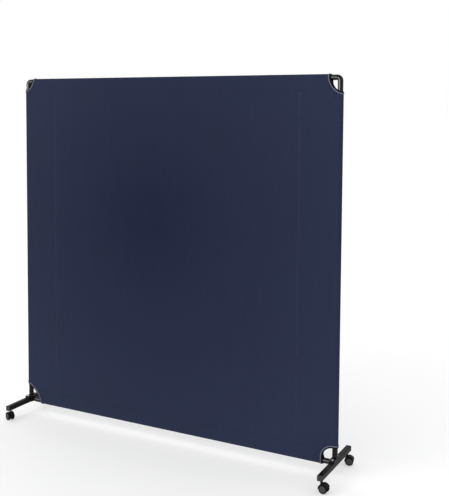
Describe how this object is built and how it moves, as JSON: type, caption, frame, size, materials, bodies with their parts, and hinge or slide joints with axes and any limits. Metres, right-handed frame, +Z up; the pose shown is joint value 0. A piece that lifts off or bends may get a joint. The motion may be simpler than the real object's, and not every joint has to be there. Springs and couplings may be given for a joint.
{
  "type": "curtain screen",
  "caption": "Rolling privacy curtain screen: a taut fabric curtain with scalloped corners sleeved over a knock-down tube frame on two cross feet with swivel casters.",
  "frame": {"origin": "on the floor, midway between the two posts and midway along the feet", "axes": "+X to the right along the curtain's width, -Y to the front, +Z up"},
  "size_m": [1.8499, 0.3854, 1.8315],
  "materials": {
    "black_paint": "semi-gloss black powder coat on steel tube",
    "black_plastic": "moulded black plastic",
    "caster_plastic": "moulded black nylon",
    "caster_wheel": "satin dark grey nylon, scuffed tread",
    "zinc": "zinc plated",
    "curtain_fabric": "taut navy woven polyester",
    "binding": "navy binding tape with a lighter edge cord"
  },
  "bodies": {
    "frame": {"left_post_lower": "black_paint", "left_post_upper": "black_paint", "left_post_coupler": "zinc", "right_post_lower": "black_paint", "right_post_upper": "black_paint", "right_post_coupler": "zinc", "top_rail_left": "black_paint", "top_rail_right": "black_paint", "top_rail_coupler": "zinc", "bottom_rail_left": "black_paint", "bottom_rail_right": "black_paint", "bottom_rail_coupler": "zinc", "top_left_elbow": "black_paint", "top_right_elbow": "black_paint", "left_foot_tube": "black_paint", "left_foot_bracket": "black_plastic", "left_foot_front_cap": "black_plastic", "left_foot_rear_cap": "black_plastic", "left_bracket_bolts": "zinc", "left_bracket_nuts": "zinc", "left_foot_inserts": "zinc", "right_foot_tube": "black_paint", "right_foot_bracket": "black_plastic", "right_foot_front_cap": "black_plastic", "right_foot_rear_cap": "black_plastic", "right_bracket_bolts": "zinc", "right_bracket_nuts": "zinc", "right_foot_inserts": "zinc", "front_left_stem": "zinc", "front_right_stem": "zinc", "rear_left_stem": "zinc", "rear_right_stem": "zinc", "curtain_front": "curtain_fabric", "curtain_left_pocket": "curtain_fabric", "curtain_right_pocket": "curtain_fabric", "curtain_top_sleeve": "curtain_fabric", "curtain_bottom_sleeve": "curtain_fabric", "top_left_binding": "binding", "top_right_binding": "binding", "bottom_left_binding": "binding", "bottom_right_binding": "binding"},
    "front_left_caster": {"front_left_housing": "caster_plastic", "front_left_axle": "zinc"},
    "front_left_outer_wheel": {"front_left_outer_wheel": "caster_wheel"},
    "front_left_inner_wheel": {"front_left_inner_wheel": "caster_wheel"},
    "front_right_caster": {"front_right_housing": "caster_plastic", "front_right_axle": "zinc"},
    "front_right_outer_wheel": {"front_right_outer_wheel": "caster_wheel"},
    "front_right_inner_wheel": {"front_right_inner_wheel": "caster_wheel"},
    "rear_left_caster": {"rear_left_housing": "caster_plastic", "rear_left_axle": "zinc"},
    "rear_left_outer_wheel": {"rear_left_outer_wheel": "caster_wheel"},
    "rear_left_inner_wheel": {"rear_left_inner_wheel": "caster_wheel"},
    "rear_right_caster": {"rear_right_housing": "caster_plastic", "rear_right_axle": "zinc"},
    "rear_right_outer_wheel": {"rear_right_outer_wheel": "caster_wheel"},
    "rear_right_inner_wheel": {"rear_right_inner_wheel": "caster_wheel"}
  },
  "joints": [
    {"name": "front_left_swivel", "type": "hinge", "parent": "frame", "child": "front_left_caster", "pos_m": [-0.8888, -0.165, 0.045], "axis": [0, 0, 1], "continuous": true},
    {"name": "front_left_outer_wheel_roll", "type": "hinge", "parent": "front_left_caster", "child": "front_left_outer_wheel", "pos_m": [-0.89993, -0.16051, 0.02], "axis": [-0.3746, -0.9272, 0], "continuous": true},
    {"name": "front_left_inner_wheel_roll", "type": "hinge", "parent": "front_left_caster", "child": "front_left_inner_wheel", "pos_m": [-0.89993, -0.16051, 0.02], "axis": [-0.3746, -0.9272, 0], "continuous": true},
    {"name": "front_right_swivel", "type": "hinge", "parent": "frame", "child": "front_right_caster", "pos_m": [0.8888, -0.165, 0.045], "axis": [0, 0, 1], "continuous": true},
    {"name": "front_right_outer_wheel_roll", "type": "hinge", "parent": "front_right_caster", "child": "front_right_outer_wheel", "pos_m": [0.90071, -0.16646, 0.02], "axis": [0.1219, 0.9925, 0], "continuous": true},
    {"name": "front_right_inner_wheel_roll", "type": "hinge", "parent": "front_right_caster", "child": "front_right_inner_wheel", "pos_m": [0.90071, -0.16646, 0.02], "axis": [0.1219, 0.9925, 0], "continuous": true},
    {"name": "rear_left_swivel", "type": "hinge", "parent": "frame", "child": "rear_left_caster", "pos_m": [-0.8888, 0.165, 0.045], "axis": [0, 0, 1], "continuous": true},
    {"name": "rear_left_outer_wheel_roll", "type": "hinge", "parent": "rear_left_caster", "child": "rear_left_outer_wheel", "pos_m": [-0.89919, 0.171, 0.02], "axis": [-0.5, -0.866, 0], "continuous": true},
    {"name": "rear_left_inner_wheel_roll", "type": "hinge", "parent": "rear_left_caster", "child": "rear_left_inner_wheel", "pos_m": [-0.89919, 0.171, 0.02], "axis": [-0.5, -0.866, 0], "continuous": true},
    {"name": "rear_right_swivel", "type": "hinge", "parent": "frame", "child": "rear_right_caster", "pos_m": [0.8888, 0.165, 0.045], "axis": [0, 0, 1], "continuous": true},
    {"name": "rear_right_outer_wheel_roll", "type": "hinge", "parent": "rear_right_caster", "child": "rear_right_outer_wheel", "pos_m": [0.90054, 0.1675, 0.02], "axis": [-0.2079, 0.9781, 0], "continuous": true},
    {"name": "rear_right_inner_wheel_roll", "type": "hinge", "parent": "rear_right_caster", "child": "rear_right_inner_wheel", "pos_m": [0.90054, 0.1675, 0.02], "axis": [-0.2079, 0.9781, 0], "continuous": true}
  ]
}
